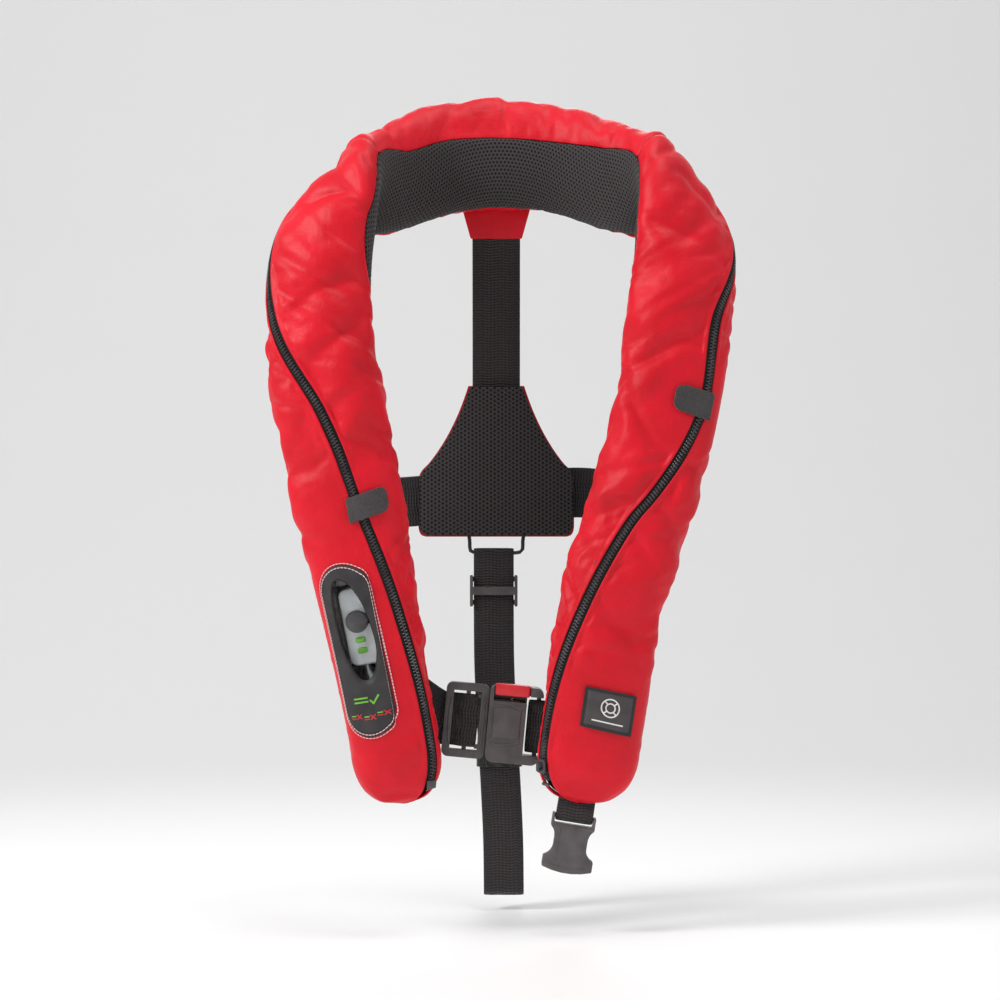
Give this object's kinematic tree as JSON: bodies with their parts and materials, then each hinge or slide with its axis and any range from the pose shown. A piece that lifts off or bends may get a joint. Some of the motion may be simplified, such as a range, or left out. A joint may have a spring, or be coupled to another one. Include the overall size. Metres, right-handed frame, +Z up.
{
  "type": "inflatable life jacket",
  "caption": "Horseshoe inflatable life jacket, folded: zipped cover round neck and chest, back pad, waist belt with release buckle, crotch strap.",
  "frame": {"origin": "underside of the collar at the middle of the nape, where a hanger or the wearer's neck carries the jacket", "axes": "+X to the right seen from the front, +Y from the chest to the back, +Z up"},
  "size_m": [0.3533, 0.1705, 0.6347],
  "materials": {
    "red_nylon": "coated nylon, satin",
    "red_backing": "matt woven",
    "spacer_mesh": "spacer mesh, matt",
    "black_lining": "matt woven",
    "foam": "closed-cell foam",
    "bladder_film": "coated, glossy",
    "zip_tape": "woven tape",
    "tab_pile": "hook-and-loop pile",
    "zip_plastic": "moulded, satin",
    "panel_print": "printed, matt",
    "clear_vinyl": "clear film",
    "white_plastic": "moulded",
    "grey_plastic": "moulded, satin",
    "green_plastic": "moulded",
    "red_plastic": "moulded",
    "bright_steel": "zinc plated",
    "ring_steel": "black coated",
    "tube_rubber": "matt",
    "patch_rubber": "moulded, matt",
    "black_webbing": "woven polyester webbing"
  },
  "bodies": {
    "jacket": {"cover_left_outer": "red_nylon", "cover_left_inner": "red_nylon", "lining_left": "black_lining", "cover_collar_outer": "red_nylon", "cover_collar_inner": "red_nylon", "lining_collar": "spacer_mesh", "cover_right_outer": "red_nylon", "cover_right_inner": "red_nylon", "lining_right": "black_lining", "bladder_folded": "bladder_film", "zip_tape": "zip_tape", "zip_teeth": "zip_plastic", "zip_end_stop": "zip_plastic", "zip_start_box": "zip_plastic", "window_panel": "panel_print", "window_clear": "clear_vinyl", "inflator_body": "white_plastic", "inflator_cap": "grey_plastic", "inflator_indicator_upper": "green_plastic", "inflator_indicator_lower": "green_plastic", "gas_cylinder": "bright_steel", "oral_tube": "tube_rubber", "oral_valve_cap": "red_plastic", "whistle": "red_plastic", "maker_patch": "patch_rubber", "back_tab": "red_nylon", "back_pad_mesh": "spacer_mesh", "back_pad_foam": "foam", "back_pad_backing": "red_backing", "back_strap": "black_webbing", "buckle_housing": "grey_plastic", "button_spring": "bright_steel", "belt_left": "black_webbing", "belt_right": "black_webbing", "crotch_socket_loop": "black_webbing"},
    "buckle_tongue": {"buckle_male": "grey_plastic"},
    "release_button": {"buckle_button": "red_plastic"},
    "zip_runner": {"zip_slider": "zip_plastic"},
    "left_tab": {"zip_tab_left": "tab_pile"},
    "right_tab": {"zip_tab_right": "tab_pile"},
    "hem_ring": {"strap_ring": "ring_steel"},
    "strap_run": {"crotch_strap": "black_webbing", "strap_keeper": "black_lining"},
    "ladder": {"strap_slider": "grey_plastic"},
    "plug": {"crotch_plug": "grey_plastic"},
    "socket": {"crotch_socket": "grey_plastic"}
  },
  "joints": [
    {"name": "buckle_release", "type": "slide", "parent": "jacket", "child": "buckle_tongue", "axis": [-0.9957, 0, 0.0924], "range_m": [0, 0.03], "deforming": ["belt_left"]},
    {"name": "button_press", "type": "slide", "parent": "jacket", "child": "release_button", "axis": [-0.0924, 0, -0.9957], "range_m": [0, 0.003], "stiffness_N_per_m": 300, "springref_m": -0.003, "deforming": ["button_spring"]},
    {"name": "zip_run", "type": "slide", "parent": "jacket", "child": "zip_runner", "axis": [0.0552, -0.1084, 0.9926], "range_m": [0, 0.012]},
    {"name": "left_tab_lift", "type": "hinge", "parent": "jacket", "child": "left_tab", "pos_m": [-0.1123, -0.135, -0.2383], "axis": [0.1751, 0.012, -0.9845], "range_deg": [0, 120]},
    {"name": "right_tab_lift", "type": "hinge", "parent": "jacket", "child": "right_tab", "pos_m": [0.1574, -0.1285, -0.1614], "axis": [0.1999, 0.031, 0.9793], "range_deg": [0, 120]},
    {"name": "ring_swing", "type": "hinge", "parent": "jacket", "child": "hem_ring", "pos_m": [-0.003, 0.018, -0.253], "axis": [1, 0, 0], "range_deg": [-10, 4]},
    {"name": "strap_swing", "type": "hinge", "parent": "hem_ring", "child": "strap_run", "pos_m": [-0.003, 0.018, -0.272], "axis": [1, 0, 0], "range_deg": [-12, 12]},
    {"name": "ladder_slide", "type": "slide", "parent": "strap_run", "child": "ladder", "axis": [0, 0, -1], "range_m": [0, 0.03]},
    {"name": "plug_tilt", "type": "hinge", "parent": "strap_run", "child": "plug", "pos_m": [-0.0011, 0.0311, -0.43], "axis": [1, 0, 0], "range_deg": [-25, 12]},
    {"name": "socket_swing", "type": "hinge", "parent": "jacket", "child": "socket", "pos_m": [0.05595, -0.1023, -0.46856], "axis": [0.9877, 0, -0.1564], "range_deg": [-25, 25]}
  ]
}
